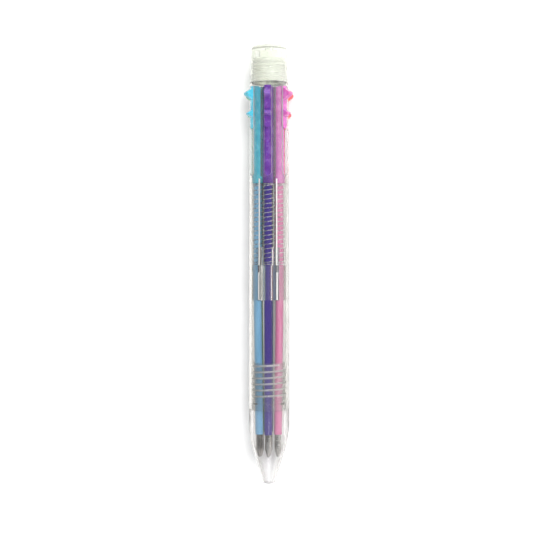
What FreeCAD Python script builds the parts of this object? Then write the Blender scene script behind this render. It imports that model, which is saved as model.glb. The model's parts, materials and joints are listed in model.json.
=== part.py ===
"""Six-colour click pen, in millimetres.

The pen lies on a table. Its axis is along Y with the end cap towards +Y, +Z is up, and it rests
on the thumb bumps of two sliders. Every piece is first drawn about its own Z axis, where Z is the
distance from the tip of the nose (called a height here) and +X points outwards through a slider.
It is then turned about the pen's axis to its colour, and laid down by lay().
"""

import FreeCAD, Part
import math
import os

from FreeCAD import Vector

# ---- driving dimensions ------------------------------------------------------------------
PEN_LENGTH = 146.0          # tip of the nose to the crown of the end cap
COLOURS = {                 # angle of each slider from straight up, towards +X, in degrees
    "purple": 30.0,
    "pink": 90.0,
    "red": 150.0,
    "navy": 210.0,
    "green": 270.0,
    "cyan": 330.0,
}
TRAVEL = 11.5               # how far a slider is pushed to bring its point out
SLIDE_GAP = 0.10            # running clearance of a slider in its slot and in the barrel
FIT_GAP = 0.05              # clearance of pieces that are assembled once
PART_GAP = 0.15             # clearance between pieces that only pass each other

# refills
TUBE_R = 1.25
TUBE_BORE_R = 0.9
TIP = 9.0                   # height of the writing tips when they are drawn in
TIP_OFF_AXIS = 3.32         # how far the drawn-in tips are from the pen's axis
POINT_LENGTH = 7.5          # tip to the foot of the tube
POINT_R = 1.05
POINT_CONE = 2.8
POINT_SHANK = 3.0
BALL_R = 0.35
INK_CHANNEL_R = 0.25
INK_SHORT = 6.0             # the ink ends this far below the peg that plugs the tube
BEND_REACH = 3.0            # the refills bend inwards over this length to each side

# springs
WIRE = 0.3
SPRING_TURNS = 18
SPRING_LENGTH = 27.3

# sliders
SLEEVE_PROUD = 0.05         # the sleeve is this much thicker than the spring it pushes on
SLEEVE_SPACING = 0.65       # between neighbouring sleeves
SLEEVE_LENGTH = 31.8
SLEEVE_BELOW = 0.4          # head of the sleeve below the head of the slot
PEG_LENGTH = 5.8
THUMB_LENGTH = 14.05
THUMB_PROUD = 0.05          # the thumb piece is nearly flush with the barrel's top
UPPER_BUMP = (-4.65, -2.55, -0.55, 2.33, 0.7)     # foot, crest and head from the thumb piece's
LOWER_BUMP = (-10.35, -9.05, -7.85, 1.5, 0.55)    # head, height of the crest, rounding
BUMP_ROOT = 0.3             # how deep a bump's root is in the thumb piece
BUMP_EDGE = 0.3

# barrel
NOSE_JOINT = 24.5           # height of the joint between nose and barrel
GRIP_LENGTH = 37.5          # the barrel is a true cylinder for this length above the nose
GRIP_WALL = 0.9
TOP_WALL = 0.6
RIM_HEIGHT = 1.4            # the closed ring above the slots
SLOT_WIDTH = 2.4
SLOT_LENGTH = 29.8
NECK_STEP = 0.25            # the cap's thread is this much thinner than the barrel's bore
NECK_WALL = 1.0
NECK_LENGTH = 7.1

# end cap
CAP_LENGTH = 12.6
CAP_WALL = 0.6
CAP_TAPER = 0.3
CAP_EDGE_R = 1.0
CAP_CROWN = 0.4
CAP_POCKET_R = 3.1
CAP_ROOF = 2.3
CAP_SOCKET = 0.8            # how far the core's rod goes into the roof
CAP_GATE_R = 1.35           # the dimple round the gate mark, and the mark itself
CAP_GATE_DEPTH = 0.5
CAP_GATE_MARK_R = 0.45

# nose
NOSE_TIP_R = 1.9
NOSE_HOLE_R = 1.35
NOSE_SLOPE = 0.28           # how much the funnel's radius grows for each mm of height
NOSE_NECK_LENGTH = 15.7
NOSE_NECK_WALL = 0.6
NOSE_CONE_TOP = 11.5        # the straight cone ends here and the belly begins
NOSE_CONE_R = 5.5
NOSE_BASE_STEP = 0.05       # the nose is this much thinner than the barrel at their joint
NOSE_BELLY = (8.0, 0.54)    # a point of the belly: below the joint, and inside its radius

# guide of springs and refills
GUIDE_LEAD = 9.3            # length of the leads below the collar
COLLAR_THICK = 2.2
LEAD_WALL = 0.25
POCKET_DEPTH = 6.0
POCKET_INSET = 0.45         # the pockets' block is this much thinner than the barrel's bore
FIN_OVER = 1.5              # the fins end this far above the springs
FIN_THICK = 0.4
FIN_INSET = 0.35

# core that carries the guide and the latch ledge
ROD_R = 0.9
STAR_GAP = 0.7              # between the guide's fins and the star
WAIST_DEPTH = 0.65          # how deep the ledge is
LEDGE_ROOM = 0.5            # room below the ledge for the head of a slider that is pushed down
DISC_OVER = 0.4             # the disc is this much wider than the neck's bore
DISC_THICK = 0.8

# ---- sizes that follow -------------------------------------------------------------------
SPRING_R = TUBE_R + SLIDE_GAP + WIRE                        # outside
SLEEVE_R = SPRING_R + SLEEVE_PROUD
PITCH_R = 2 * SLEEVE_R + SLEEVE_SPACING                     # six sleeves round the axis
BORE_R = PITCH_R + SLEEVE_R + SLIDE_GAP
GRIP_R = BORE_R + GRIP_WALL
BARREL_TOP_R = BORE_R + TOP_WALL
THUMB_R = BARREL_TOP_R + THUMB_PROUD
NECK_R = BORE_R - NECK_STEP
NECK_BORE_R = NECK_R - NECK_WALL
HUB_R = PITCH_R - SLEEVE_R - PART_GAP - FIT_GAP

GRIP_TOP = NOSE_JOINT + GRIP_LENGTH
BARREL_TOP = PEN_LENGTH - CAP_LENGTH
NECK_TOP = BARREL_TOP + NECK_LENGTH
SLOT_TOP = BARREL_TOP - RIM_HEIGHT
SLOT_BOTTOM = SLOT_TOP - SLOT_LENGTH
THUMB_TOP = SLOT_TOP - FIT_GAP
THUMB_FOOT = THUMB_TOP - THUMB_LENGTH
SLEEVE_TOP = SLOT_TOP - SLEEVE_BELOW
SLEEVE_FOOT = SLEEVE_TOP - SLEEVE_LENGTH                    # the shoulder that the spring lifts
SPRING_FOOT = SLEEVE_FOOT - SPRING_LENGTH
COLLAR_FOOT = SPRING_FOOT - COLLAR_THICK
GUIDE_FOOT = COLLAR_FOOT - GUIDE_LEAD
FIN_TOP = SLEEVE_FOOT + FIN_OVER
STAR_FOOT = FIN_TOP + STAR_GAP
ROD_TOP = PEN_LENGTH - CAP_ROOF + CAP_SOCKET

TUBE_FOOT = TIP + POINT_LENGTH
INK_TOP = SLEEVE_FOOT - PEG_LENGTH - INK_SHORT
BEND_AT = GUIDE_FOOT - BEND_REACH                           # height of the middle of the bend
LEAN = math.degrees(math.asin((PITCH_R - TIP_OFF_AXIS) / (BEND_AT - TIP)))

AXIS = Vector(0, 0, 1)
ORIGIN = Vector(0, 0, 0)


# ---- small helpers -----------------------------------------------------------------------
def rod(radius, foot, head, x=0.0):
    """A round bar between two heights, at x from the pen's axis."""
    return Part.makeCylinder(radius, head - foot, Vector(x, 0, foot))


def turned(outline):
    """The solid that an outline of straight runs, (radius, height) each, sweeps round the axis."""
    points = [Vector(r, 0, h) for r, h in outline]
    return Part.Face(Part.makePolygon(points + points[:1])).revolve(ORIGIN, AXIS, 360)


def edges_turned(edges):
    """The same for a closed run of edges."""
    return Part.Face(Part.Wire(Part.__sortEdges__(edges))).revolve(ORIGIN, AXIS, 360)


def around(shape, angle):
    """A copy of a piece drawn at +X, turned to an angle from straight up."""
    copy = shape.copy()
    copy.rotate(ORIGIN, AXIS, angle - 90.0)
    return copy


def every(shape, offset=0.0):
    """One copy of a piece for each slider, offset degrees further round."""
    return [around(shape, angle + offset) for angle in COLOURS.values()]


def leaning(shape):
    """A piece drawn upright on a refill's axis, leaned inwards about the middle of the bend."""
    copy = shape.copy()
    copy.rotate(Vector(PITCH_R, 0, BEND_AT), Vector(0, 1, 0), LEAN)
    return copy


def fins(outer, thick, foot, head):
    """Six flat fins that stand between the sliders, as one list."""
    fin = Part.makeBox(outer, thick, head - foot, Vector(0, -thick / 2, foot))
    return every(fin.common(rod(outer, foot, head)), 30.0)


# ---- body --------------------------------------------------------------------------------
def slot():
    """The cut for one slider: straight sides, a round lower end and a square upper end."""
    foot = SLOT_BOTTOM + SLOT_WIDTH / 2
    corner = Vector(0, -SLOT_WIDTH / 2, foot)
    straight = Part.makeBox(2 * GRIP_R, SLOT_WIDTH, SLOT_TOP - foot, corner)
    end = Part.makeCylinder(SLOT_WIDTH / 2, 2 * GRIP_R, Vector(0, 0, foot), Vector(1, 0, 0))
    return straight.fuse(end)


def barrel():
    tube = turned([
        (BORE_R, NOSE_JOINT),
        (GRIP_R, NOSE_JOINT),
        (GRIP_R, GRIP_TOP),
        (BARREL_TOP_R, BARREL_TOP),
        (NECK_R, BARREL_TOP),
        (NECK_R, NECK_TOP),
        (NECK_BORE_R, NECK_TOP),
        (NECK_BORE_R, BARREL_TOP),
        (BORE_R, BARREL_TOP),
    ])
    return tube.cut(every(slot()))


def nose_cone():
    neck_r = BORE_R - FIT_GAP
    neck_bore_r = neck_r - NOSE_NECK_WALL
    neck_top = NOSE_JOINT + NOSE_NECK_LENGTH
    bore_foot = (neck_bore_r - NOSE_HOLE_R) / NOSE_SLOPE
    base_r = GRIP_R - NOSE_BASE_STEP
    belly_drop, belly_inset = NOSE_BELLY
    cone_head = Vector(NOSE_CONE_R, 0, NOSE_CONE_TOP)
    belly = Vector(base_r - belly_inset, 0, NOSE_JOINT - belly_drop)
    base = Vector(base_r, 0, NOSE_JOINT)
    rest = [
        base,
        Vector(neck_r, 0, NOSE_JOINT),
        Vector(neck_r, 0, neck_top),
        Vector(neck_bore_r, 0, neck_top),
        Vector(neck_bore_r, 0, bore_foot),
        Vector(NOSE_HOLE_R, 0, 0),
        Vector(NOSE_TIP_R, 0, 0),
        cone_head,
    ]
    edges = [Part.makeLine(a, b) for a, b in zip(rest, rest[1:])]
    edges.append(Part.Arc(cone_head, belly, base).toShape())
    return edges_turned(edges)


def end_cap():
    bore_r = NECK_R + FIT_GAP
    foot_r = bore_r + CAP_WALL
    top_r = foot_r - CAP_TAPER
    shell_top = PEN_LENGTH - CAP_CROWN
    side_top = shell_top - CAP_EDGE_R
    rim = Vector(top_r, 0, side_top)
    turn = CAP_EDGE_R * math.sqrt(0.5)
    mid = Vector(top_r - CAP_EDGE_R + turn, 0, side_top + turn)
    edge = Vector(top_r - CAP_EDGE_R, 0, shell_top)
    crown = Vector(0, 0, PEN_LENGTH)
    disc_top = NECK_TOP + DISC_THICK + FIT_GAP
    roof = PEN_LENGTH - CAP_ROOF
    corners = [
        Vector(0, 0, roof),
        Vector(CAP_POCKET_R, 0, roof),
        Vector(CAP_POCKET_R, 0, disc_top),
        Vector(bore_r, 0, disc_top),
        Vector(bore_r, 0, BARREL_TOP),
        Vector(foot_r, 0, BARREL_TOP),
        rim,
    ]
    edges = [Part.makeLine(a, b) for a, b in zip(corners, corners[1:])]
    edges.append(Part.Arc(rim, mid, edge).toShape())
    edges.append(Part.makeLine(edge, crown))
    edges.append(Part.makeLine(crown, corners[0]))
    cup = edges_turned(edges)
    dimple_foot = PEN_LENGTH - CAP_GATE_DEPTH
    dimple = rod(CAP_GATE_R, dimple_foot, PEN_LENGTH)
    mark = rod(CAP_GATE_MARK_R, dimple_foot, PEN_LENGTH)
    socket = rod(ROD_R + FIT_GAP, roof - FIT_GAP, ROD_TOP + FIT_GAP)
    return cup.cut([dimple.cut(mark), socket])


# ---- inside ------------------------------------------------------------------------------
def spring_guide():
    """The clear block that holds the springs' feet and leads the refills, with its fins."""
    lead_r = TUBE_R + SLIDE_GAP
    pocket_top = SPRING_FOOT + POCKET_DEPTH
    block = rod(PITCH_R + lead_r + LEAD_WALL, GUIDE_FOOT, COLLAR_FOOT).fuse([
        rod(BORE_R - FIT_GAP, COLLAR_FOOT, SPRING_FOOT),
        rod(BORE_R - POCKET_INSET, SPRING_FOOT, pocket_top),
        rod(HUB_R, pocket_top, FIN_TOP),
        *fins(BORE_R - FIN_INSET, FIN_THICK, SPRING_FOOT, FIN_TOP),
    ])
    lead = rod(lead_r, GUIDE_FOOT, SPRING_FOOT, PITCH_R)
    pocket = rod(SPRING_R + SLIDE_GAP, SPRING_FOOT, pocket_top, PITCH_R)
    shaft = rod(ROD_R, GUIDE_FOOT, FIN_TOP)
    return block.cut([*every(lead), *every(pocket), shaft]).removeSplitter()


def latch_core():
    """The long core: a rod through the guide, the star with the latch ledge, and the top disc."""
    ledge = SLEEVE_TOP - TRAVEL + LEDGE_ROOM
    star_top = SLEEVE_TOP + PART_GAP
    core = rod(ROD_R, GUIDE_FOOT, ROD_TOP).fuse([
        rod(HUB_R - WAIST_DEPTH, STAR_FOOT, ledge),
        rod(HUB_R, ledge, star_top),
        rod(NECK_BORE_R + DISC_OVER, NECK_TOP, NECK_TOP + DISC_THICK),
        *fins(NECK_BORE_R - FIT_GAP, FIN_THICK - FIT_GAP, STAR_FOOT, star_top),
    ])
    return core.removeSplitter()


def spring():
    """A compression spring of round wire on one refill's axis."""
    mean_r = SPRING_R - WIRE / 2
    height = SPRING_LENGTH - WIRE
    helix = Part.makeHelix(height / SPRING_TURNS, height, mean_r)
    start = Part.makeCircle(WIRE / 2, Vector(mean_r, 0, 0), Vector(0, 1, 0))
    coil = Part.Wire(helix).makePipeShell([Part.Wire(start)], True, True)
    coil.translate(Vector(PITCH_R, 0, SPRING_FOOT + WIRE / 2))
    return coil


# ---- sliders -----------------------------------------------------------------------------
def bump(foot, crest, head, proud, rounding):
    """A thumb bump: a ridge across the slider with a rounded crest and softened edges."""
    width = SLOT_WIDTH - 2 * SLIDE_GAP
    root_r = THUMB_R - BUMP_ROOT
    crest_r = THUMB_R + proud
    outline = [(root_r, foot), (crest_r + rounding / 2, crest), (root_r, head)]
    corners = [Vector(x, -width / 2, THUMB_TOP + h) for x, h in outline]
    ridge = Part.Face(Part.makePolygon(corners + corners[:1])).extrude(Vector(0, width, 0))
    top = max(ridge.Edges, key=lambda e: e.BoundBox.XMin)
    ridge = ridge.makeFillet(rounding, [top])
    flat = [e for e in ridge.Edges if e.BoundBox.YLength < width / 2]
    sides = [e for e in flat if e.BoundBox.XMax > root_r + BUMP_ROOT]
    ridge = ridge.makeFillet(BUMP_EDGE, sides)
    ridge.translate(Vector(crest_r - ridge.optimalBoundingBox().XMax, 0, 0))
    return ridge


def slider():
    """One slider: the sleeve on the refill, the peg that holds it, and the thumb piece."""
    width = SLOT_WIDTH - 2 * SLIDE_GAP
    round_at = THUMB_FOOT + width / 2
    plate = Part.makeBox(THUMB_R, width, THUMB_TOP - round_at, Vector(0, -width / 2, round_at))
    end = Part.makeCylinder(width / 2, THUMB_R, Vector(0, 0, round_at), Vector(1, 0, 0))
    thumb = plate.fuse(end).common(rod(THUMB_R, THUMB_FOOT, THUMB_TOP))
    thumb = thumb.cut(Part.makeBox(PITCH_R, 2 * width, PEN_LENGTH, Vector(0, -width, 0)))
    bumps = [bump(*UPPER_BUMP), bump(*LOWER_BUMP)]
    body = rod(SLEEVE_R, SLEEVE_FOOT, SLEEVE_TOP, PITCH_R)
    peg = rod(TUBE_BORE_R, SLEEVE_FOOT - PEG_LENGTH, SLEEVE_FOOT, PITCH_R)
    return body.fuse([peg, thumb, *bumps]).removeSplitter()


# ---- refills -----------------------------------------------------------------------------
def bent_bar(radius, foot, head):
    """A round bar along a refill: upright above the bend and leaning below it."""
    reach = BEND_REACH
    path_top = Vector(PITCH_R, 0, head)
    bend_top = Vector(PITCH_R, 0, BEND_AT + reach)
    lean = math.radians(LEAN)
    bend_foot = Vector(PITCH_R - reach * math.sin(lean), 0, BEND_AT - reach * math.cos(lean))
    drop = BEND_AT - foot
    path_foot = Vector(PITCH_R - drop * math.sin(lean), 0, BEND_AT - drop * math.cos(lean))
    bend_r = reach / math.tan(lean / 2)
    sag = bend_r * (1 - math.cos(lean / 2))
    mid = (bend_top + bend_foot) / 2
    inward = Vector(math.cos(lean / 2), 0, -math.sin(lean / 2))
    path = Part.Wire([
        Part.makeLine(path_top, bend_top),
        Part.Arc(bend_top, mid + inward * sag, bend_foot).toShape(),
        Part.makeLine(bend_foot, path_foot),
    ])
    start = Part.Wire(Part.makeCircle(radius, path_top, AXIS))
    return path.makePipeShell([start], True, False)


def refill_tube():
    head = SLEEVE_FOOT - FIT_GAP
    return bent_bar(TUBE_R, TUBE_FOOT, head).cut(bent_bar(TUBE_BORE_R, TUBE_FOOT, head))


def ink():
    return bent_bar(TUBE_BORE_R - FIT_GAP / 2, TUBE_FOOT + POINT_SHANK + FIT_GAP, INK_TOP)


def refill_point():
    """The metal point: a shank in the tube, a round body, a cone, and a seat for the ball."""
    ball_at = TIP + BALL_R
    mouth_r = BALL_R + FIT_GAP
    outline = [
        (INK_CHANNEL_R, ball_at),
        (mouth_r, ball_at),
        (POINT_R, TIP + POINT_CONE),
        (POINT_R, TUBE_FOOT),
        (TUBE_BORE_R - FIT_GAP / 2, TUBE_FOOT),
        (TUBE_BORE_R - FIT_GAP / 2, TUBE_FOOT + POINT_SHANK),
        (INK_CHANNEL_R, TUBE_FOOT + POINT_SHANK),
    ]
    body = turned(outline).cut(Part.makeSphere(BALL_R + FIT_GAP / 5, Vector(0, 0, ball_at)))
    body.translate(Vector(PITCH_R, 0, 0))
    return leaning(body)


def ball():
    return leaning(Part.makeSphere(BALL_R, Vector(PITCH_R, 0, TIP + BALL_R)))


# ---- the whole pen -----------------------------------------------------------------------
def lay(shape, drop):
    """Lays an upright piece down: heights run along +Y from the middle, and +Z is up."""
    copy = shape.copy()
    copy.rotate(ORIGIN, Vector(1, 0, 0), -90)
    copy.translate(Vector(0, -PEN_LENGTH / 2, drop))
    return copy


def main():
    upright = {
        "barrel": barrel(),
        "nose_cone": nose_cone(),
        "end_cap": end_cap(),
        "spring_guide": spring_guide(),
        "latch_core": latch_core(),
    }
    per_colour = {
        "slider": slider(),
        "spring": spring(),
        "refill_tube": refill_tube(),
        "ink": ink(),
        "refill_point": refill_point(),
        "ball": ball(),
    }
    for colour, angle in COLOURS.items():
        for name, shape in per_colour.items():
            upright[f"{name}_{colour}"] = around(shape, angle)
    # the lowest point of the two lower sliders is on the table
    drop = max(upright[f"slider_{c}"].optimalBoundingBox().YMax for c in ("red", "navy"))
    os.makedirs("parts", exist_ok=True)
    for name, shape in upright.items():
        laid = lay(shape, drop)
        laid.exportStep(os.path.join("parts", name + ".step"))
        print(f"{name}: {laid.Volume:.2f} mm3, {len(laid.Solids)} solid, valid {laid.isValid()}")
    print(f"axis height {drop:.4f}")


main()
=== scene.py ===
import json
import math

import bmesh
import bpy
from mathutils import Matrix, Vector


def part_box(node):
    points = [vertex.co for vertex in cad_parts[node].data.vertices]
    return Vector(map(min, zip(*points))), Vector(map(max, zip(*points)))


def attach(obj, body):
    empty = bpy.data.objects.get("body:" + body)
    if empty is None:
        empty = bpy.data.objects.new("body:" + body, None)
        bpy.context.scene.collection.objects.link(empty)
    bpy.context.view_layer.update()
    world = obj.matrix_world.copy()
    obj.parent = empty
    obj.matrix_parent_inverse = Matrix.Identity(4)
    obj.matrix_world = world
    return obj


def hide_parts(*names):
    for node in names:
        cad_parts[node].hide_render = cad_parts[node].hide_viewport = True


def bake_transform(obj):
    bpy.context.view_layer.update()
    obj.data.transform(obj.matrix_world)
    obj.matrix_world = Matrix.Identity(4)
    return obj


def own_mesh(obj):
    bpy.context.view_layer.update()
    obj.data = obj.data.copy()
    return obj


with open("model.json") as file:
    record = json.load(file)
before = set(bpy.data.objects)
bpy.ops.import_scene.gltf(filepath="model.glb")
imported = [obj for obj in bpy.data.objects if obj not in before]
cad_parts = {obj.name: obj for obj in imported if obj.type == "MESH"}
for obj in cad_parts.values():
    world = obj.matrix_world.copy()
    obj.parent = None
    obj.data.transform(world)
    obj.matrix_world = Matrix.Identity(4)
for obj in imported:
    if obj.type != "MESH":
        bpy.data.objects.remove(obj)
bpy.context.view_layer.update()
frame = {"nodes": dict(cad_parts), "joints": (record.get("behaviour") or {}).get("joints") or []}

# %% [markdown]
# # A clear six-colour pen
# The pen is a clear moulded tube with six refills, six springs and six sliders inside it.
# The design came as fixed solids. This file gives each of them its finish, and makes again the
# pieces whose looks need more than a plain solid: the clear shells with their screw threads, the
# wire springs and the refills, which have to bend. Lengths are in metres. A size of the pen is
# written in millimetres and multiplied by MM, because a pen is measured in millimetres.

MM = 0.001

# %% [markdown]
# ## Where things are
# Every height is a distance from the tip of the nose, along the pen. The pen lies along Y, so a
# height turns into a Y, and the pen's axis is one line above the table. All of that is read from
# the solids, so the looks follow the design if a size changes.

# %% Places read from the frame
barrel_low, barrel_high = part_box("barrel")
nose_low, nose_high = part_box("nose_cone")
cap_low, cap_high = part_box("end_cap")
AXIS_Z = (barrel_low.z + barrel_high.z) / 2
TIP_Y = nose_low.y
AXIS_POINT = Vector((0, TIP_Y, AXIS_Z))
ALONG = Vector((0, 1, 0))
COLOURS = ["purple", "pink", "red", "navy", "green", "cyan"]
FLEXES = {j["name"]: j for j in frame["joints"] if j["type"] == "hinge"}


def height(y):
    """How far a Y is from the tip of the nose."""
    return y - TIP_Y


JOINT_H = height(barrel_low.y)
NECK_END_H = height(nose_high.y)
BARREL_TOP_H = height(cap_low.y)
PEN_H = height(cap_high.y)
GRIP_R = (barrel_high.x - barrel_low.x) / 2
print("axis", round(AXIS_Z / MM, 2), "joint", round(JOINT_H / MM, 2), "length", round(PEN_H / MM, 2))

# %% [markdown]
# ## Turning on a lathe
# Almost every piece of a pen is round, so most shapes here are an outline spun about the axis.
# An outline is a list of (radius, height) corners. The sharp corners then get a tiny rounded
# edge, as every moulding has, because it is the edge that catches the light.

# %% Lathe and edge helpers
SPIN_STEPS = 160
WELD = 0.002 * MM           # corners nearer than this become one
EDGE_SEGMENTS = 2


def place(radius, along):
    """A point at a radius, straight out along +X, and a height."""
    return Vector((radius, TIP_Y + along, AXIS_Z))


def lathe(outline, closed=True):
    """A bmesh of an outline spun all the way round the pen's axis."""
    bm = bmesh.new()
    verts = [bm.verts.new(place(r, h)) for r, h in outline]
    pairs = list(zip(verts, verts[1:] + verts[:1] if closed else verts[1:]))
    edges = [bm.edges.new(pair) for pair in pairs]
    bmesh.ops.spin(bm, geom=verts + edges, cent=AXIS_POINT, axis=ALONG, angle=2 * math.pi,
                   steps=SPIN_STEPS, use_merge=True, use_duplicate=False)
    bmesh.ops.remove_doubles(bm, verts=bm.verts[:], dist=WELD)
    bmesh.ops.recalc_face_normals(bm, faces=bm.faces[:])
    return bm


def soften(bm, width, sharper_than):
    """Rounds the edges that turn by more than an angle, in degrees."""
    edges = [e for e in bm.edges if len(e.link_faces) == 2
             and e.calc_face_angle(0.0) > math.radians(sharper_than)]
    bmesh.ops.bevel(bm, geom=edges, offset=width, offset_type="OFFSET",
                    segments=EDGE_SEGMENTS, profile=0.5, affect="EDGES", material=-1,
                    clamp_overlap=True)


CREASE = 18.0               # degrees: a moulded edge turns by more than this


def finished(bm, name, crease=CREASE):
    """An object made from a bmesh, smooth except at edges that turn by more than an angle."""
    mesh = bpy.data.meshes.new(name)
    bm.to_mesh(mesh)
    bm.free()
    mesh.shade_smooth()
    mesh.set_sharp_from_angle(angle=math.radians(crease))
    piece = bpy.data.objects.new(name, mesh)
    bpy.context.scene.collection.objects.link(piece)
    print(f"{name}: {len(mesh.polygons)} faces")
    return piece


def cut(piece, tool):
    """Cuts one object with another, which leaves its finish on the walls that it cuts."""
    modifier = piece.modifiers.new("cut", "BOOLEAN")
    modifier.operation = "DIFFERENCE"
    modifier.solver = "EXACT"
    modifier.material_mode = "TRANSFER"
    modifier.object = tool
    bpy.context.view_layer.update()
    ready = piece.evaluated_get(bpy.context.evaluated_depsgraph_get())
    mesh = bpy.data.meshes.new_from_object(ready)
    piece.modifiers.clear()
    piece.data = mesh
    mesh.shade_smooth()
    mesh.set_sharp_from_angle(angle=math.radians(CREASE))
    bpy.data.objects.remove(tool)
    print(f"{piece.name} after the cut: {len(mesh.polygons)} faces")


# %% [markdown]
# ## Screw threads
# The nose screws into the barrel, and the cap onto it. A thread is one tooth, drawn as a small
# flat outline, which turns about the axis and climbs as it turns. A right-hand thread climbs
# away from the eye when it turns clockwise. Both ends taper into the wall, as a moulded
# thread's do, so the tooth is squeezed towards its root over the first and last part turn.

# %% Thread helper
THREAD_STEPS = 48           # for each turn
RUN_OUT = 0.35              # of a turn
RUN_OUT_LEAST = 0.02        # of the tooth's depth, left at its very end
ROOT_SINK = 0.06 * MM       # how far the tooth's root lies inside the wall
THREAD_WELD = 0.001 * MM


def thread(name, root_r, crest_r, root_width, crest_width, pitch, low, high):
    """A helical tooth between two heights, rooted just inside root_r."""
    turns = (high - low) / pitch
    sunk_r = root_r - math.copysign(ROOT_SINK, crest_r - root_r)
    tooth = [(sunk_r, -root_width / 2), (crest_r, -crest_width / 2),
             (crest_r, crest_width / 2), (sunk_r, root_width / 2)]
    bm = bmesh.new()
    verts = [bm.verts.new(place(r, low + h)) for r, h in tooth]
    face = bm.faces.new(verts)
    steps = int(turns * THREAD_STEPS)
    geom = [face, *face.edges, *face.verts]
    bmesh.ops.spin(bm, geom=geom, cent=AXIS_POINT, axis=ALONG, angle=2 * math.pi * turns,
                   dvec=ALONG * (high - low) / steps, steps=steps, use_duplicate=False)
    bmesh.ops.remove_doubles(bm, verts=bm.verts[:], dist=THREAD_WELD)
    for vert in bm.verts:
        out = Vector((vert.co.x, 0, vert.co.z - AXIS_Z))
        risen = (height(vert.co.y) - low) / pitch
        share = min(1.0, max(RUN_OUT_LEAST, min(risen, turns - risen) / RUN_OUT))
        wanted = sunk_r + (out.length - sunk_r) * share
        vert.co += out.normalized() * (wanted - out.length)
    bmesh.ops.recalc_face_normals(bm, faces=bm.faces[:])
    return finished(bm, name)


# %% [markdown]
# ## The camera
# The pen is seen from above and a little to its right, so that the purple slider faces the eye
# and is turned very slightly to the left. The sliders that it rests on are at 30 degrees from
# straight down, so the eye is 34 degrees from straight up.

# %% Camera
VIEW_TURN = math.radians(34.0)
VIEW_DISTANCE = 420 * MM
SEEN_WIDTH = 178 * MM       # what the picture takes in, side to side, at the pen's axis
SENSOR = 36.0
OFF_CENTRE = 0.83 * MM      # the pen is this far right of the middle of the picture, and above it
NEAREST = 1 * MM            # nothing nearer to the eye than this is drawn

towards_eye = Vector((math.sin(VIEW_TURN), 0, math.cos(VIEW_TURN)))
picture_right = Vector((math.cos(VIEW_TURN), 0, -math.sin(VIEW_TURN)))
pen_middle = Vector((0, TIP_Y + PEN_H / 2, AXIS_Z))
aim = pen_middle - picture_right * OFF_CENTRE - ALONG * OFF_CENTRE
camera_data = bpy.data.cameras.new("camera")
camera_data.sensor_width = SENSOR
camera_data.lens = SENSOR * VIEW_DISTANCE / SEEN_WIDTH
camera_data.clip_start = NEAREST
camera = bpy.data.objects.new("camera", camera_data)
bpy.context.scene.collection.objects.link(camera)
turn = Matrix((picture_right, ALONG, towards_eye)).transposed().to_4x4()
camera.matrix_world = Matrix.Translation(aim + towards_eye * VIEW_DISTANCE) @ turn
bpy.context.scene.camera = camera
print("lens", round(camera_data.lens, 1), "mm")

# %% [markdown]
# ## Materials
# Each finish starts from the real material and how it was made. One function turns the colours
# written on a paint chart into the linear numbers that the renderer wants, and one adds a node.
# A third lays the nodes out in the same way for every finish: soft patches, where the colour and
# the gloss drift a little, and a fine skin with a real depth.

# %% Material helpers
def linear(code):
    """An sRGB colour such as "7a4a9e" as linear red, green, blue and full alpha."""
    parts = [int(code[i:i + 2], 16) / 255 for i in (0, 2, 4)]
    return [p / 12.92 if p <= 0.04045 else ((p + 0.055) / 1.055) ** 2.4 for p in parts] + [1.0]


def add(tree, kind, settings=(), values=(), links=()):
    """Adds a node, with its settings, the values of its sockets and the links into them."""
    node = tree.nodes.new(kind)
    for name, value in dict(settings).items():
        setattr(node, name, value)
    for socket, value in dict(values).items():
        node.inputs[socket].default_value = value
    for socket, source in dict(links).items():
        tree.links.new(source, node.inputs[socket])
    return node


MIX_A, MIX_B, MIX_RESULT = 6, 7, 2      # the colour sockets of a Mix node
PATCH_DETAIL, SKIN_DETAIL = 3.0, 2.0    # how many finer layers a noise has
SKIN_STRENGTH = 0.5
EVEN_BLEND = 0.5                        # a Layer Weight that follows the angle evenly
NOISE_LOW, NOISE_HIGH = 0.32, 0.68      # nearly all of a noise lies between these
CREST_FROM_R = GRIP_R                   # the painted crest light starts here, where a thumb bump starts to thin out, and is full here, where the bump is thinnest
CREST_TO_R = GRIP_R + 2.0 * MM          # and is thinnest here


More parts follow.
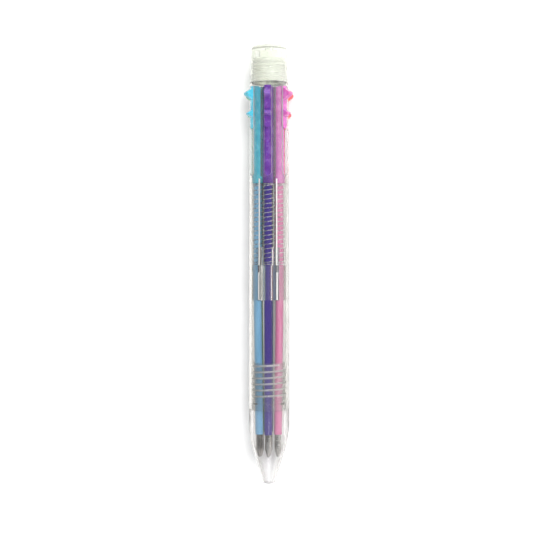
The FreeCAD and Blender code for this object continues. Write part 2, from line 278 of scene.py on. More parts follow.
def finish(name, dark, light, rough, patch, skin, depth, stretch=(1, 1, 1), painted_edge_shade=None,
           painted_crest_light=None, shade=None, **sockets):
    """A finish: colours and roughness that drift in patches, and a skin of a size and depth.

    The edge-on colour is painted shade: a warm grey mixed in where a clear wall is seen edge on.
    The crest colour is painted light, mixed in for what stands furthest out from the pen's axis,
    where thin plastic lets light through. shade is for a clear piece: what is left of the light that
    meets its wall edge on, for light that meets it squarely goes through."""
    material = bpy.data.materials.new(name)
    material.use_nodes = True
    tree = material.node_tree
    shader = tree.nodes["Principled BSDF"]
    for socket, value in sockets.items():
        shader.inputs[socket.replace("_", " ")].default_value = value
    where = add(tree, "ShaderNodeTexCoord").outputs["Object"]
    placed = add(tree, "ShaderNodeMapping", (), {"Scale": stretch}, {"Vector": where})
    patches = add(tree, "ShaderNodeTexNoise", (), {"Scale": 1 / patch, "Detail": PATCH_DETAIL},
                  {"Vector": placed.outputs["Vector"]}).outputs["Fac"]
    fine = add(tree, "ShaderNodeTexNoise", (), {"Scale": 1 / skin, "Detail": SKIN_DETAIL},
               {"Vector": placed.outputs["Vector"]}).outputs["Fac"]
    drift = add(tree, "ShaderNodeMapRange", (), {"From Min": NOISE_LOW, "From Max": NOISE_HIGH},
                {"Value": patches}).outputs["Result"]
    gloss = add(tree, "ShaderNodeMapRange", (),
                {"From Min": NOISE_LOW, "From Max": NOISE_HIGH, "To Min": rough[0],
                 "To Max": rough[1]}, {"Value": patches}).outputs["Result"]
    colour = add(tree, "ShaderNodeMix", {"data_type": "RGBA"},
                 {MIX_A: linear(dark), MIX_B: linear(light)}, {"Factor": drift})
    # Painted light: the crest colour is mixed in by distance from the pen's axis, for the light that
    # thin crests let through.
    if painted_crest_light:
        across = add(tree, "ShaderNodeMapping", (),
                     {"Location": (0, 0, -AXIS_Z), "Scale": (1, 0, 1)}, {"Vector": where})
        radius = add(tree, "ShaderNodeVectorMath", {"operation": "LENGTH"}, (),
                     {"Vector": across.outputs["Vector"]}).outputs["Value"]
        crest_light_mask = add(tree, "ShaderNodeMapRange", (),
                    {"From Min": CREST_FROM_R, "From Max": CREST_TO_R}, {"Value": radius})
        colour = add(tree, "ShaderNodeMix", {"data_type": "RGBA"}, {MIX_B: linear(painted_crest_light)},
                     {"Factor": crest_light_mask.outputs["Result"], MIX_A: colour.outputs[MIX_RESULT]})
    if painted_edge_shade or shade:
        edge_on = add(tree, "ShaderNodeLayerWeight", (), {"Blend": EVEN_BLEND}).outputs["Facing"]
    # Painted shade: a warm grey mixed into the colour where a clear wall is seen edge on.
    if painted_edge_shade:
        colour = add(tree, "ShaderNodeMix", {"data_type": "RGBA"}, {MIX_B: linear(painted_edge_shade)},
                     {"Factor": edge_on, MIX_A: colour.outputs[MIX_RESULT]})
    bump = add(tree, "ShaderNodeBump", (), {"Strength": SKIN_STRENGTH, "Distance": depth},
               {"Height": fine})
    tree.links.new(colour.outputs[MIX_RESULT], shader.inputs["Base Color"])
    tree.links.new(gloss, shader.inputs["Roughness"])
    tree.links.new(bump.outputs["Normal"], shader.inputs["Normal"])
    if shade:
        rays = add(tree, "ShaderNodeLightPath").outputs["Is Shadow Ray"]
        dimmed = add(tree, "ShaderNodeMix", {"data_type": "RGBA"},
                     {MIX_A: linear(light), MIX_B: linear(shade)}, {"Factor": edge_on})
        through = add(tree, "ShaderNodeBsdfTransparent", (), (),
                      {"Color": dimmed.outputs[MIX_RESULT]})
        both = add(tree, "ShaderNodeMixShader", (), (),
                   {0: rays, 1: shader.outputs["BSDF"], 2: through.outputs["BSDF"]})
        tree.links.new(both.outputs["Shader"], tree.nodes["Material Output"].inputs["Surface"])
    return material


# %% [markdown]
# ### Clear polystyrene
# The barrel, the nose and the guide are crystal polystyrene, injected into a polished mould. It
# has an index of 1.59, so its edges flash brighter than glass does. Where the eye looks along the
# wall, a warm grey painted shade is mixed into its colour. Flow in the mould leaves long shallow
# ripples, a few hundredths of a millimetre deep. The nose is the thickest moulding and is a little
# cloudy.
# A renderer can't easily find light that has been bent twice, so a shadow ray goes straight
# through the wall and is only dimmed.

# %% Clear plastics
POLYSTYRENE_IOR = 1.59
RIPPLE = 0.02 * MM
FROST = 0.01 * MM
# The rim colours below are painted shade, a warm grey where a clear wall is seen edge on.
barrel_clear = finish("clear_polystyrene", "fcfcfa", "ffffff", rough=(0.01, 0.03),
                      patch=4 * MM, skin=6 * MM, depth=RIPPLE, stretch=(1, 0.3, 1),
                      painted_edge_shade="b2afa2", shade="909090", Transmission_Weight=0.995,
                      IOR=POLYSTYRENE_IOR)
nose_clear = finish("cloudy_polystyrene_nose", "fcfafc", "ffffff", rough=(0.02, 0.05),
                    patch=3 * MM, skin=5 * MM, depth=RIPPLE, stretch=(1, 0.5, 1),
                    painted_edge_shade="b6b3aa", shade="9c9c9c", Transmission_Weight=0.975,
                    IOR=POLYSTYRENE_IOR)
guide_clear = finish("clear_polystyrene_guide", "fafbfb", "ffffff", rough=(0.02, 0.05),
                     patch=3 * MM, skin=4 * MM, depth=RIPPLE, stretch=(1, 0.3, 1),
                     painted_edge_shade="e6e6e2", shade="c0c2c2", Transmission_Weight=0.99,
                     IOR=POLYSTYRENE_IOR)

# %% [markdown]
# The threads, the walls of the slots and the ribs of the guide come from the same plastic, but
# those parts of the mould aren't polished. They have a fine frost, which lets less light through.

# %% Frosted plastics
thread_frost = finish("unpolished_polystyrene_thread", "f4f4f0", "ffffff", rough=(0.25, 0.4),
                      patch=1 * MM, skin=0.3 * MM, depth=FROST, shade="c8c8c4",
                      Transmission_Weight=0.8, IOR=POLYSTYRENE_IOR)
slot_frost = finish("unpolished_polystyrene_slot", "f0f0ec", "fafaf8", rough=(0.3, 0.45),
                    patch=1 * MM, skin=0.3 * MM, depth=FROST, shade="c8c8c4",
                    Transmission_Weight=0.55, IOR=POLYSTYRENE_IOR)
rib_frost = finish("unpolished_polystyrene_rib", "f8f8f6", "ffffff", rough=(0.35, 0.5),
                   patch=1 * MM, skin=0.3 * MM, depth=FROST, shade="c8c8c4",
                   Transmission_Weight=0.2, IOR=POLYSTYRENE_IOR)

# %% [markdown]
# ### Milky polypropylene
# The end cap and the inner core are polypropylene with no pigment. Light enters it, scatters and
# comes out nearby, so it glows softly and blurs what is behind it. The mould was lightly
# blasted, so the skin is satin. Its real grain is a tenth of a millimetre, and it is drawn at
# 0.3 mm, because a tenth would be lost at this size.

# %% Milky plastics
POLYPROPYLENE_IOR = 1.49
SATIN_GRAIN = 0.3 * MM
cap_milky = finish("milky_polypropylene_cap", "eef0e6", "f6f8f1", rough=(0.06, 0.1),
                   patch=5 * MM, skin=SATIN_GRAIN, depth=0.003 * MM, shade="a4a4a4",
                   Transmission_Weight=0.75, IOR=POLYPROPYLENE_IOR)
core_milky = finish("milky_polypropylene_core", "ebedeb", "f6f7f6", rough=(0.1, 0.18),
                    patch=3 * MM, skin=SATIN_GRAIN, depth=0.005 * MM, shade="d0d2ce",
                    Transmission_Weight=0.93, IOR=POLYPROPYLENE_IOR)

# %% [markdown]
# ### Sliders
# The sliders are ABS, coloured through and moulded glossy. Thin bits, such as the crests of the
# thumb bumps, let some light in and look paler. A little scattering under the skin gives part of
# that, and a third shade, painted light, is mixed in for what stands proud of the barrel. Thumbs
# polish them unevenly, so the gloss varies in soft patches.

# %% Slider plastics
SLIDER_SHADES = {           # darker patches, lighter patches, crests with painted light
    "purple": ("552c80", "694294", "7e5aa8"),
    "pink": ("b45aa2", "c66cb2", "c4649f"),
    "red": ("e25a62", "ee7076", "e8666a"),
    "navy": ("307c9c", "4694b2", "3e8cac"),
    "green": ("70c892", "90d8a8", "7cc898"),
    "cyan": ("48b0ca", "62c2d6", "3aa8be"),
}
# The third colour of each slider is painted light, mixed in on what stands furthest from the axis.
slider_paint = {
    colour: finish(f"abs_{colour}", dark, light, rough=(0.18, 0.32), patch=2.2 * MM,
                   skin=0.5 * MM, depth=0.005 * MM, painted_crest_light=crest_light, IOR=1.53,
                   Subsurface_Weight=0.3, Subsurface_Scale=0.9 * MM, Coat_Weight=0.2,
                   Coat_Roughness=0.08)
    for colour, (dark, light, crest_light) in SLIDER_SHADES.items()
}

# %% [markdown]
# ### Refill tubes and ink
# A refill is an extruded polypropylene tube, tinted like its ink, with fine lines along it from
# the die. The ink inside is a thick paste, much darker, with streaks where it clings to the
# wall.

# %% Refill plastics
TUBE_SHADES = {             # the tube's darker and lighter patches, and its ink
    "purple": ("301c7c", "3e288c", "221066"),
    "pink": ("cc6098", "da7eae", "b84488"),
    "red": ("b82846", "cc405a", "900e28"),
    "navy": ("24487e", "345e98", "102a58"),
    "green": ("70a868", "88bc80", "357830"),
    "cyan": ("76b2d6", "92c8e6", "4c92c0"),
}
tube_paint = {
    colour: finish(f"polypropylene_tube_{colour}", dark, light, rough=(0.42, 0.55),
                   patch=2.5 * MM, skin=0.4 * MM, depth=0.015 * MM, stretch=(1, 0.1, 1),
                   shade=dark, IOR=POLYPROPYLENE_IOR, Transmission_Weight=0.2)
    for colour, (dark, light, ink) in TUBE_SHADES.items()
}
ink_paint = {
    colour: finish(f"paste_ink_{colour}", ink, dark, rough=(0.3, 0.5), patch=2.0 * MM,
                   skin=0.8 * MM, depth=0.02 * MM, stretch=(1, 0.3, 1), IOR=1.45)
    for colour, (dark, light, ink) in TUBE_SHADES.items()
}

# %% [markdown]
# ### Metals
# The springs are drawn music wire with a bright zinc flash, which comes out a little uneven. The
# points are nickel silver, turned on an automatic lathe, so fine rings run round them. The
# writing balls are lapped carbide, nearly a mirror.

# %% Metals
spring_steel = finish("zinc_flashed_spring_wire", "dfe0e3", "f8f8fa", rough=(0.2, 0.32),
                      patch=0.8 * MM, skin=0.3 * MM, depth=0.006 * MM, Metallic=1.0)
nickel_silver = finish("turned_nickel_silver", "8c8882", "bcb8b2", rough=(0.18, 0.28),
                       patch=0.9 * MM, skin=0.5 * MM, depth=0.004 * MM,
                       stretch=(0.15, 2.5, 0.15), Metallic=1.0)
carbide = finish("lapped_carbide", "8d8d90", "b5b5b8", rough=(0.05, 0.1), patch=0.3 * MM,
                 skin=0.2 * MM, depth=0.002 * MM, Metallic=1.0)
print(len(bpy.data.materials), "materials")


# %% Painting helper
def paint(piece, material):
    """Gives a piece one material in all its slots."""
    piece.data.materials.clear()
    piece.data.materials.append(material)


def repaint(node, material):
    """Gives a node of the frame a better material."""
    for slot in frame["nodes"][node].material_slots:
        slot.material = material


# %% [markdown]
# ## The barrel
# One clear tube. It is a plain cylinder where it is held and tapers a little above that. At its
# head six slots with round lower ends are cut right through the wall, and the neck carries the
# cap's thread. It is turned as an outline and then cut with six slot-shaped bars, as a milling
# cutter would do it. The bars leave their own finish on the walls that they cut, which aren't
# polished in the mould.

# %% Barrel sizes
BORE_R = 5.85 * MM
GRIP_TOP_H = 62.0 * MM      # the taper starts here
TOP_R = 6.45 * MM
NECK_TOP_H = BARREL_TOP_H + 7.1 * MM
NECK_R = 5.6 * MM           # over the crest of the cap's thread
NECK_BORE_R = 4.6 * MM
BARREL_EDGE = 0.12 * MM
BARREL_EDGE_TURN = 40.0     # degrees
SLOT_WIDTH = 2.4 * MM
SLOT_LOW_H = 102.2 * MM
SLOT_HIGH_H = BARREL_TOP_H - 1.4 * MM
SLOT_TURNS = [math.radians(30 + 60 * i) for i in range(6)]
SLOT_SIDES = 40
CUTTER_FOOT_R = 3 * MM      # where the bars that cut the slots start
CAP_PITCH = 1.25 * MM
CAP_TOOTH = 0.28 * MM       # the depth of the cap's thread
CAP_TOOTH_ROOT = 0.5 * MM
CAP_TOOTH_CREST = 0.12 * MM
CAP_THREAD = (BARREL_TOP_H + 0.7 * MM, NECK_TOP_H - 0.5 * MM)

# %% Barrel
outline = [
    (BORE_R, JOINT_H),
    (GRIP_R, JOINT_H),
    (GRIP_R, GRIP_TOP_H),
    (TOP_R, BARREL_TOP_H),
    (NECK_R - CAP_TOOTH, BARREL_TOP_H),
    (NECK_R - CAP_TOOTH, NECK_TOP_H),
    (NECK_BORE_R, NECK_TOP_H),
    (NECK_BORE_R, BARREL_TOP_H),
    (BORE_R, BARREL_TOP_H),
]
bm = lathe(outline)
soften(bm, BARREL_EDGE, BARREL_EDGE_TURN)
barrel = finished(bm, "barrel_shell")


# %% Slots
def slot_cutter():
    """Six bars, each with a round lower end, that stand where the slots go."""
    bm = bmesh.new()
    for turn_by in SLOT_TURNS:
        verts = bmesh.ops.create_circle(bm, cap_ends=True, segments=SLOT_SIDES,
                                        radius=SLOT_WIDTH / 2)["verts"]
        face = next(f for f in bm.faces if all(v in verts for v in f.verts))
        for vert in verts:
            if vert.co.y > WELD:
                vert.co.y = SLOT_HIGH_H - SLOT_LOW_H - SLOT_WIDTH / 2
        low = Vector((0, TIP_Y + SLOT_LOW_H + SLOT_WIDTH / 2, AXIS_Z + CUTTER_FOOT_R))
        bmesh.ops.translate(bm, verts=verts, vec=low)
        moved = bmesh.ops.extrude_face_region(bm, geom=[face])["geom"]
        top = [v for v in moved if isinstance(v, bmesh.types.BMVert)]
        bmesh.ops.translate(bm, verts=top, vec=(0, 0, 2 * GRIP_R))
        bmesh.ops.rotate(bm, verts=verts + top, cent=AXIS_POINT,
                         matrix=Matrix.Rotation(turn_by, 3, "Y"))
    bmesh.ops.recalc_face_normals(bm, faces=bm.faces[:])
    return finished(bm, "slot_cutter")


paint(barrel, barrel_clear)
cutter = slot_cutter()
paint(cutter, slot_frost)
cut(barrel, cutter)

# %% The cap's thread, on the barrel's neck
cap_thread = thread("cap_thread", NECK_R - CAP_TOOTH, NECK_R, CAP_TOOTH_ROOT, CAP_TOOTH_CREST,
                    CAP_PITCH, *CAP_THREAD)
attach(barrel, "pen_body")
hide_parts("barrel")
paint(cap_thread, thread_frost)
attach(cap_thread, "pen_body")

# %% [markdown]
# ## The nose
# The nose is a thick clear cone with a belly, and a funnel inside that leads each point to the
# one hole. Its neck goes up into the barrel and carries a coarse right-hand thread. The straight
# part of the cone needs two points only. The belly starts with the cone's slope and ends level
# with the barrel, so it is a cubic curve with those two slopes.

# %% Nose sizes
TIP_R = 1.9 * MM
TIP_EDGE = 0.2 * MM
TIP_EDGE_H = 0.22 * MM
TIP_FLARE = 0.03 * MM       # how far the cone has opened at the edge's head
HOLE_R = 1.35 * MM
HOLE_EDGE = 0.1 * MM
HOLE_EDGE_H = 0.25 * MM
CONE_TOP_H = 11.5 * MM
CONE_TOP_R = 5.5 * MM
BASE_R = GRIP_R - 0.05 * MM
NOSE_NECK_R = BORE_R - 0.05 * MM
NOSE_BORE_R = 5.2 * MM
FUNNEL_SLOPE = 0.28
BELLY_POINTS = 14
NOSE_PITCH = 2.0 * MM
NOSE_TOOTH = 0.36 * MM      # the depth of its thread
NOSE_TOOTH_ROOT = 0.6 * MM
NOSE_TOOTH_CREST = 0.15 * MM
NOSE_THREAD = (JOINT_H + 3.2 * MM, NECK_END_H - 0.6 * MM)
PLAIN_R = NOSE_NECK_R - NOSE_TOOTH * 0.3    # the neck below its thread
PLAIN_TOP_H = JOINT_H + 2.0 * MM
ROOT_FROM_H = JOINT_H + 2.4 * MM
FUNNEL_TOP_H = (NOSE_BORE_R - HOLE_R) / FUNNEL_SLOPE


def belly():
    """Points from the head of the straight cone to the joint, on one smooth curve."""
    low_slope = (CONE_TOP_R - TIP_R) / CONE_TOP_H
    rise, run = BASE_R - CONE_TOP_R, JOINT_H - CONE_TOP_H
    for i in range(1, BELLY_POINTS + 1):
        t = i / BELLY_POINTS
        cubic = (t ** 3 - 2 * t ** 2 + t) * low_slope * run + (3 * t ** 2 - 2 * t ** 3) * rise
        yield (CONE_TOP_R + cubic, CONE_TOP_H + t * run)


# %% Nose
outline = [
    (HOLE_R, HOLE_EDGE_H),
    (HOLE_R + HOLE_EDGE, 0.0),
    (TIP_R - TIP_EDGE, 0.0),
    (TIP_R + TIP_FLARE, TIP_EDGE_H),
    (CONE_TOP_R, CONE_TOP_H),
    *belly(),
    (PLAIN_R, JOINT_H),
    (PLAIN_R, PLAIN_TOP_H),
    (NOSE_NECK_R - NOSE_TOOTH, ROOT_FROM_H),
    (NOSE_NECK_R - NOSE_TOOTH, NECK_END_H),
    (NOSE_BORE_R, NECK_END_H),
    (NOSE_BORE_R, FUNNEL_TOP_H),
]
nose = finished(lathe(outline), "nose_shell")
nose_thread = thread("nose_thread", NOSE_NECK_R - NOSE_TOOTH, NOSE_NECK_R, NOSE_TOOTH_ROOT,
                     NOSE_TOOTH_CREST, NOSE_PITCH, *NOSE_THREAD)
paint(nose, nose_clear)
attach(nose, "pen_body")
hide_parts("nose_cone")
paint(nose_thread, thread_frost)
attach(nose_thread, "pen_body")

# %% [markdown]
# ## The end cap
# A milky cup screwed onto the neck. Its crown is very slightly domed, and in the middle is the
# gate, where the plastic went in: a shallow dimple with a small stub in it. Inside, the cup is
# stepped, and above the core's disc it is a narrow pocket.

# %% End cap sizes
CAP_FOOT_R = (cap_high.x - cap_low.x) / 2
CAP_TOP_R = CAP_FOOT_R - 0.3 * MM
CAP_EDGE = 1.0 * MM
CROWN = 0.4 * MM            # how far the crown is domed
CAP_GAP = 0.05 * MM         # all round what the cap is pushed or screwed over
FOOT_GAP = 0.02 * MM
FOOT_EDGE = 0.12 * MM
DISC_TOP_H = NECK_TOP_H + 0.85 * MM
POCKET_R = 3.1 * MM
ROOF_H = PEN_H - 2.3 * MM
ROD_R = 0.9 * MM
ROD_HOLE_H = ROOF_H + 0.85 * MM
EDGE_POINTS = 7
GATE = [                    # radius, and depth below the crown: the dimple, then the stub in it
    (1.45 * MM, 0.12 * MM),
    (1.3 * MM, 0.3 * MM),
    (1.1 * MM, 0.5 * MM),
    (0.5 * MM, 0.5 * MM),
    (0.4 * MM, 0.08 * MM),
    (0.25 * MM, 0.0),
    (0.0, 0.0),
]

# %% End cap
foot_h = BARREL_TOP_H + FOOT_GAP
side_top = PEN_H - CROWN - CAP_EDGE
edge_turns = [math.pi / 2 * i / (EDGE_POINTS - 1) for i in range(EDGE_POINTS)]
outline = [
    (0.0, ROD_HOLE_H),
    (ROD_R + CAP_GAP, ROD_HOLE_H),
    (ROD_R + CAP_GAP, ROOF_H),
    (POCKET_R, ROOF_H),
    (POCKET_R, DISC_TOP_H),
    (NECK_R + CAP_GAP, DISC_TOP_H),
    (NECK_R + CAP_GAP, foot_h),
    (CAP_FOOT_R - FOOT_EDGE, foot_h),
    (CAP_FOOT_R, foot_h + FOOT_EDGE),
    *[(CAP_TOP_R - CAP_EDGE * (1 - math.cos(a)), side_top + CAP_EDGE * math.sin(a))
      for a in edge_turns],
    *[(radius, PEN_H - depth) for radius, depth in GATE],
]
cap = finished(lathe(outline, closed=False), "cap_shell")
paint(cap, cap_milky)
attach(cap, "pen_body")
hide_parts("end_cap")

# %% [markdown]
# ## The inside mouldings, the sliders, the points and their balls
# These solids already have the right shape and enough facets, so they only get their finishes.

# %% Repaint the nodes that stay
repaint("spring_guide", guide_clear)
repaint("latch_core", core_milky)
for colour in COLOURS:
    repaint(f"slider_{colour}", slider_paint[colour])
    repaint(f"refill_point_{colour}", nickel_silver)
    repaint(f"ball_{colour}", carbide)

# %% [markdown]
# ## Ribs of the guide
# The guide's fins and the walls of its leads end in narrow ribs that nearly touch the barrel.
# Those edges aren't polished in the mould, so they catch the light as thin white lines. Each is
# a cube stretched into a bar, set on the fin and turned with it, and its edges are rounded.

# %% Ribs
RIB_WIDTH = 0.4 * MM
RIB_EDGE = 0.05 * MM
RIB_EDGE_TURN = 60.0        # degrees
RIB_TURNS = [math.radians(60 * i) for i in range(6)]
guide_low, guide_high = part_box("spring_guide")
LEAD_LOW_H = height(guide_low.y)
FIN_TOP_H = height(guide_high.y)
COLLAR_LOW_H = LEAD_LOW_H + 9.3 * MM
COLLAR_HIGH_H = LEAD_LOW_H + 11.5 * MM
RIB_ROWS = [                # inner radius, outer radius, low, high: below the collar and above it
    (5.6 * MM, 5.8 * MM, LEAD_LOW_H + 0.15 * MM, COLLAR_LOW_H - 0.05 * MM),
    (5.36 * MM, 5.62 * MM, COLLAR_HIGH_H + 0.05 * MM, FIN_TOP_H - 0.1 * MM),
]
bm = bmesh.new()
for inner, outer, low, high in RIB_ROWS:
    for turn_by in RIB_TURNS:
        bar = bmesh.ops.create_cube(bm, size=1.0)["verts"]
        bmesh.ops.scale(bm, verts=bar, vec=(RIB_WIDTH, high - low, outer - inner))
        middle = place(0.0, (low + high) / 2) + Vector((0, 0, (inner + outer) / 2))
        bmesh.ops.translate(bm, verts=bar, vec=middle)
        bmesh.ops.rotate(bm, verts=bar, cent=AXIS_POINT,
                         matrix=Matrix.Rotation(turn_by, 3, "Y"))
soften(bm, RIB_EDGE, RIB_EDGE_TURN)
bmesh.ops.recalc_face_normals(bm, faces=bm.faces[:])
ribs = finished(bm, "guide_ribs")
paint(ribs, rib_frost)
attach(ribs, "pen_body")

# %% [markdown]
# ## The springs
# Each spring is one wire of 0.3 mm wound round its refill: 17.5 open turns, and one and a half
# at each end that lie shut against each other, so that the spring stands square. The wire is a
# small circle spun about the refill's axis while it climbs: slowly for the shut turns and faster
# for the open ones.

# %% Spring sizes
WIRE_R = 0.15 * MM
WIRE_SIDES = 10
WIRE_CREASE = 60.0          # degrees
COIL_STEPS = 28             # for each turn
SHUT_TURNS = 1.5            # at each end
SHUT_PITCH = 2 * WIRE_R * 1.04          # the shut turns stand this far apart
OPEN_TURNS = 17.5


def spring_foot(colour):
    """The point on the axis of a colour's refill that is level with the foot of its spring."""
    low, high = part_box(f"spring_{colour}")
    return Vector(((low.x + high.x) / 2, low.y, (low.z + high.z) / 2))


def coil(bm, verts, edges, centre, turns, climb):
    """Winds the wire on by some turns and returns its new end."""
    steps = int(turns * COIL_STEPS)
    made = bmesh.ops.spin(bm, geom=verts + edges, cent=centre, axis=ALONG,
                          angle=2 * math.pi * turns, dvec=ALONG * climb / steps, steps=steps,
                          use_duplicate=False)["geom_last"]
    return ([g for g in made if isinstance(g, bmesh.types.BMVert)],
            [g for g in made if isinstance(g, bmesh.types.BMEdge)])


def make_spring(colour):
    """A colour's spring: a disc the size of the wire, wound up from its foot."""
    low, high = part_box(f"spring_{colour}")
    centre = spring_foot(colour)
    length = high.y - low.y
    mean_r = (high.x - low.x) / 2 - WIRE_R
    shut = SHUT_TURNS * SHUT_PITCH
    open_climb = length - 2 * WIRE_R - 2 * shut
    bm = bmesh.new()
    ring = bmesh.ops.create_circle(bm, cap_ends=True, segments=WIRE_SIDES, radius=WIRE_R)["verts"]
    bmesh.ops.translate(bm, verts=ring, vec=centre + Vector((mean_r, WIRE_R, 0)))
    verts, edges = coil(bm, ring, bm.edges[:], centre, SHUT_TURNS, shut)
    verts, edges = coil(bm, verts, edges, centre, OPEN_TURNS, open_climb)
    verts, edges = coil(bm, verts, edges, centre, SHUT_TURNS, shut)
    bmesh.ops.holes_fill(bm, edges=edges, sides=WIRE_SIDES + 1)
    bmesh.ops.recalc_face_normals(bm, faces=bm.faces[:])
    piece = finished(bm, f"wire_spring_{colour}", WIRE_CREASE)
    paint(piece, spring_steel)
    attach(piece, "pen_body")
    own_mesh(piece)
    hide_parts(f"spring_{colour}")


for colour in COLOURS:
    make_spring(colour)

# %% [markdown]
# ## The refills
# A refill is straight where it runs in the guide and leans in below it, towards the one hole of
# the nose. When it is pushed out it bends further, over a longer stretch. So a tube or its ink
# is turned as a straight bar with many rings along it, and each ring is then moved sideways onto
# the leaning line.

# %% Refill line
BEND_REACH = 3.0 * MM
RING_STEP = 1.5 * MM
REFILL_CREASE = 50.0        # degrees
TUBE_R = 1.25 * MM
TUBE_BORE_R = 0.9 * MM
TUBE_SIDES = 40
INK_GAP = 0.03 * MM
POINT_GAP = 0.02 * MM


def pivot_of(colour):
    """The point that a colour's refill bends about."""
    return Vector(FLEXES[f"{colour}_flex"]["pos_m"])


def refill_line(colour, low_y, high_y):
    """For each ring from a refill's foot to its head: its Y, and how far aside it has moved."""
    top = spring_foot(colour)
    pivot = pivot_of(colour)
    ball_low, ball_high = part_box(f"ball_{colour}")
    lean = ((ball_low + ball_high) / 2 - pivot).normalized()
    count = round((high_y - low_y) / RING_STEP)
    line = []
    for i in range(count + 1):
        y = low_y + (high_y - low_y) * i / count
        share = min(1.0, max(0.0, (pivot.y + BEND_REACH - y) / (2 * BEND_REACH)))
        eased = share * share * (3 - 2 * share)
        straight = Vector((top.x, y, top.z))
        fallen = pivot + lean * ((y - pivot.y) / lean.y)
        line.append((y, (fallen - straight) * eased))
    return line


def refill_part(colour, name, low_y, high_y, outer_r, bore_r=None):
    """A tube, or a solid bar if it has no bore, that lies along a colour's refill."""
    line = refill_line(colour, low_y, high_y)
    top = spring_foot(colour)
    outline = [(outer_r, y) for y, _ in line]
    if bore_r:
        outline += [(bore_r, y) for y, _ in reversed(line)]
    else:
        outline = [(0.0, low_y), *outline, (0.0, high_y)]
    bm = bmesh.new()
    verts = [bm.verts.new((top.x + r, y, top.z)) for r, y in outline]
    pairs = list(zip(verts, verts[1:] + verts[:1] if bore_r else verts[1:]))
    edges = [bm.edges.new(pair) for pair in pairs]
    bmesh.ops.spin(bm, geom=verts + edges, cent=top, axis=ALONG, angle=2 * math.pi,
                   steps=TUBE_SIDES, use_merge=True, use_duplicate=False)
    bmesh.ops.remove_doubles(bm, verts=bm.verts[:], dist=WELD)
    spacing = (high_y - low_y) / (len(line) - 1)
    for vert in bm.verts:
        vert.co += line[round((vert.co.y - low_y) / spacing)][1]
    bmesh.ops.recalc_face_normals(bm, faces=bm.faces[:])
    return finished(bm, f"{name}_{colour}", REFILL_CREASE)


def bends(piece):
    """Bakes a piece's placement into its mesh."""
    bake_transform(piece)


# %% Refill tubes and ink
for colour in COLOURS:
    low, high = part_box(f"refill_tube_{colour}")
    tube = refill_part(colour, "tube", low.y + POINT_GAP, high.y, TUBE_R, TUBE_BORE_R)
    paint(tube, tube_paint[colour])
    bends(tube)
    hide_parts(f"refill_tube_{colour}")
    low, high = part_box(f"ink_{colour}")
    ink = refill_part(colour, "ink_column", low.y, high.y, TUBE_BORE_R - INK_GAP)
    paint(ink, ink_paint[colour])
    bends(ink)
    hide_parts(f"ink_{colour}")

# %% [markdown]
# ## The table and the light
# The pen lies on a plain white table under a very soft light, as for a catalogue. The key, a lamp
# at the upper right, leaves a narrow shadow along the pen's left side. The fill, a wider lamp at
# the upper left, softens it. The white room does the rest.

# %% Table
TABLE_SIZE = 1.2            # metres from its middle to each side
TABLE_SQUARES = 4
TABLE_CUTS = 2
bm = bmesh.new()
bmesh.ops.create_grid(bm, x_segments=TABLE_SQUARES, y_segments=TABLE_SQUARES, size=TABLE_SIZE)
bmesh.ops.subdivide_edges(bm, edges=bm.edges[:], cuts=TABLE_CUTS, use_grid_fill=True)
table = finished(bm, "table")
white_card = finish("matt_white_card", "fafafa", "ffffff", rough=(0.8, 0.95), patch=6 * MM,
                    skin=0.8 * MM, depth=0.01 * MM)
paint(table, white_card)

# %% [markdown]
# The key and the fill are hidden from mirror reflections, as a polarising filter would do it, or
# they would put a hard white stripe down the barrel. The glint stands towards the nose, where a
# straight tube can't mirror it, but the wires, the thumb bumps and the threads do. What the
# clear plastic mirrors is the room: white walls, and a darker ceiling, which keeps a white veil
# off the colours inside the pen.
#
# Light has to pass many clear walls here, so it may be bent more often than usual before the
# renderer gives it up.

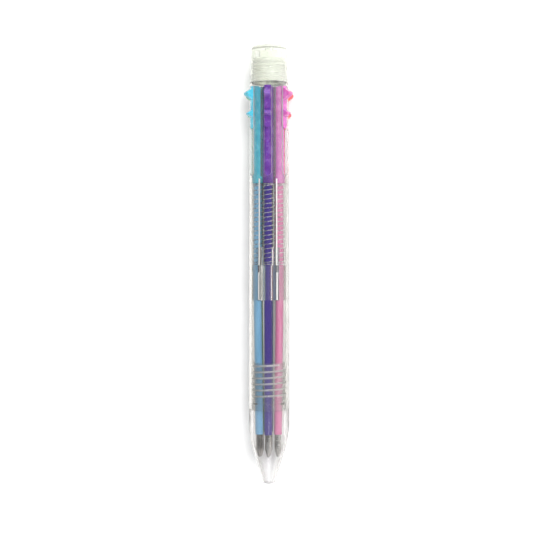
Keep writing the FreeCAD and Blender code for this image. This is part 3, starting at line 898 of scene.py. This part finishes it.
# %% Lights
KEY_TURN = 44.0             # degrees to the right of straight up
KEY_SIZE = 0.3              # metres
KEY_POWER = 8.8             # watts
FILL_TURN = -20.0
FILL_SIZE = 1.0
FILL_POWER = 2.9
LAMP_DISTANCE = 0.9
SLANT = 0.18                # how far a lamp stands towards the cap's end
GLINT_TURN = 34.0
GLINT_SLANT = -0.9
GLINT_SIZE = 0.4
GLINT_POWER = 1.0
WALLS = 0.8                 # how bright the room is, at the height of the walls
CEILING = 0.2               # and overhead
CEILING_FROM, CEILING_TO = 0.45, 0.75   # of the way up, as the sine of the height
CLEAR_WALLS = 32            # how many walls one ray may pass
WHITE = (1, 1, 1, 1)


def lamp(name, turn_by, slant, size, power, in_gloss=False):
    """A soft square lamp that shines at the pen from a side and from towards one end."""
    data = bpy.data.lights.new(name, "AREA")
    data.shape = "SQUARE"
    data.size = size
    data.energy = power
    thing = bpy.data.objects.new(name, data)
    bpy.context.scene.collection.objects.link(thing)
    side = math.radians(turn_by)
    away = Vector((math.sin(side), slant, math.cos(side))).normalized()
    facing = away.to_track_quat("Z", "Y").to_matrix().to_4x4()
    thing.matrix_world = Matrix.Translation(pen_middle + away * LAMP_DISTANCE) @ facing
    thing.visible_glossy = in_gloss
    thing.visible_transmission = in_gloss


lamp("key", KEY_TURN, SLANT, KEY_SIZE, KEY_POWER)
lamp("fill", FILL_TURN, SLANT, FILL_SIZE, FILL_POWER)
lamp("glint", GLINT_TURN, GLINT_SLANT, GLINT_SIZE, GLINT_POWER, in_gloss=True)
world = bpy.data.worlds.new("white_room")
world.use_nodes = True
tree = world.node_tree
direction = add(tree, "ShaderNodeTexCoord").outputs["Generated"]
up = add(tree, "ShaderNodeSeparateXYZ", (), (), {"Vector": direction}).outputs["Z"]
glow = add(tree, "ShaderNodeMapRange", {"interpolation_type": "SMOOTHSTEP"},
           {"From Min": CEILING_FROM, "From Max": CEILING_TO, "To Min": WALLS, "To Max": CEILING},
           {"Value": up}).outputs["Result"]
tree.links.new(glow, tree.nodes["Background"].inputs["Strength"])
tree.nodes["Background"].inputs["Color"].default_value = WHITE
bpy.context.scene.world = world
bpy.context.scene.view_settings.view_transform = "Standard"
bpy.context.scene.cycles.max_bounces = CLEAR_WALLS
bpy.context.scene.cycles.transmission_bounces = CLEAR_WALLS
bpy.context.scene.cycles.transparent_max_bounces = CLEAR_WALLS
